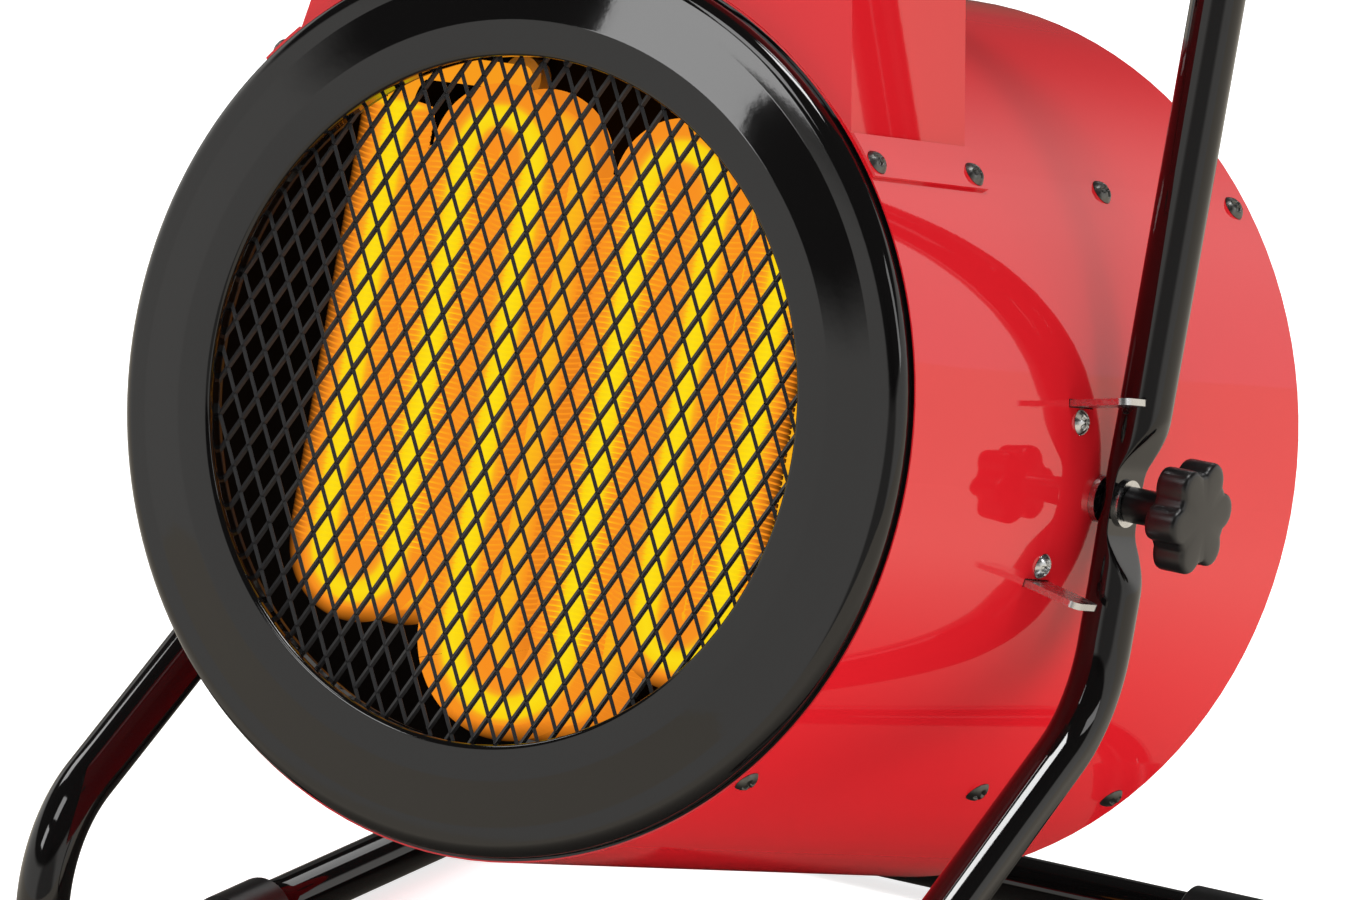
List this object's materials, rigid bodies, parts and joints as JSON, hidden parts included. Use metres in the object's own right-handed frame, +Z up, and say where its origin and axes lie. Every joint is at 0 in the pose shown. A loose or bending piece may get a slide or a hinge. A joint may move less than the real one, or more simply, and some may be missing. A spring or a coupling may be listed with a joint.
{
  "type": "fan heater",
  "caption": "Portable drum fan heater: red sheet drum with a mesh-fronted outlet and finned elements, tilting on clamp knobs in a bent black tube stand with a carrying handle.",
  "frame": {"origin": "middle of the bounding box on the floor", "axes": "+Z up, the outlet faces -Y, +X to the right seen from behind the outlet's view direction; front view has +X on the right"},
  "size_m": [0.3494, 0.309, 0.4406],
  "materials": {
    "red_paint": "gloss powder coat",
    "black_paint": "gloss powder coat",
    "mesh_paint": "satin powder coat",
    "hot_element": "glowing steel",
    "zinc": "bright zinc plate",
    "bright_sheet": "aluminised sheet",
    "black_plastic": "moulded satin",
    "black_sleeve": "moulded satin",
    "ceramic": "unglazed ceramic",
    "motor_paint": "satin",
    "fan_sheet": "mill finish",
    "shaft_steel": "ground",
    "black_screw": "black oxide",
    "lamp_lens": "clear tinted"
  },
  "bodies": {
    "stand": {"stand_frame": "black_paint", "rear_loop": "black_paint", "joint_collars": "black_sleeve", "front_feet": "black_sleeve", "rear_feet": "black_sleeve", "outer_washers": "zinc", "pivot_spacers": "zinc"},
    "drum": {"drum_shell": "red_paint", "front_ring": "black_paint", "mesh_grille": "mesh_paint", "mesh_clamp_ring": "mesh_paint", "mesh_rivets": "zinc", "heat_shield": "bright_sheet", "front_element": "hot_element", "rear_element": "hot_element", "element_support": "zinc", "element_bushes": "ceramic", "thermal_cutout": "black_plastic", "motor_bracket": "zinc", "fan_motor": "motor_paint", "rear_guard": "black_paint", "control_box": "red_paint", "control_panel": "black_plastic", "selector_switch": "black_plastic", "thermostat": "black_plastic", "pilot_lamp": "lamp_lens", "terminal_block": "ceramic", "cable_gland": "black_plastic", "left_pivot_bracket": "zinc", "right_pivot_bracket": "zinc", "bracket_screws": "zinc", "drum_screws": "black_screw", "box_screws": "black_screw"},
    "fan": {"motor_shaft": "shaft_steel", "fan_blades": "fan_sheet", "fan_nut": "shaft_steel"},
    "selector": {"selector_knob": "black_plastic"},
    "thermostat_dial": {"thermostat_knob": "black_plastic"},
    "left_clamp": {"left_knob": "black_plastic"},
    "right_clamp": {"right_knob": "black_plastic"}
  },
  "joints": [
    {"name": "drum_tilt", "type": "hinge", "parent": "stand", "child": "drum", "pos_m": [0, -0.0009, 0.192], "axis": [1, 0, 0], "range_deg": [-1, 14.5]},
    {"name": "fan_spin", "type": "hinge", "parent": "drum", "child": "fan", "pos_m": [0, -0.0009, 0.192], "axis": [0, 0.9613, -0.2756], "continuous": true},
    {"name": "selector_turn", "type": "hinge", "parent": "drum", "child": "selector", "pos_m": [0.038, -0.07876, 0.21433], "axis": [0, 0.2756, 0.9613], "range_deg": [0, 135]},
    {"name": "thermostat_turn", "type": "hinge", "parent": "drum", "child": "thermostat_dial", "pos_m": [-0.038, -0.07876, 0.21433], "axis": [0, 0.2756, 0.9613], "range_deg": [0, 270]},
    {"name": "left_clamp_turn", "type": "hinge", "parent": "drum", "child": "left_clamp", "pos_m": [0, -0.0009, 0.192], "axis": [-1, 0, 0], "range_deg": [0, 360]},
    {"name": "right_clamp_turn", "type": "hinge", "parent": "drum", "child": "right_clamp", "pos_m": [0, -0.0009, 0.192], "axis": [1, 0, 0], "range_deg": [0, 360]}
  ]
}
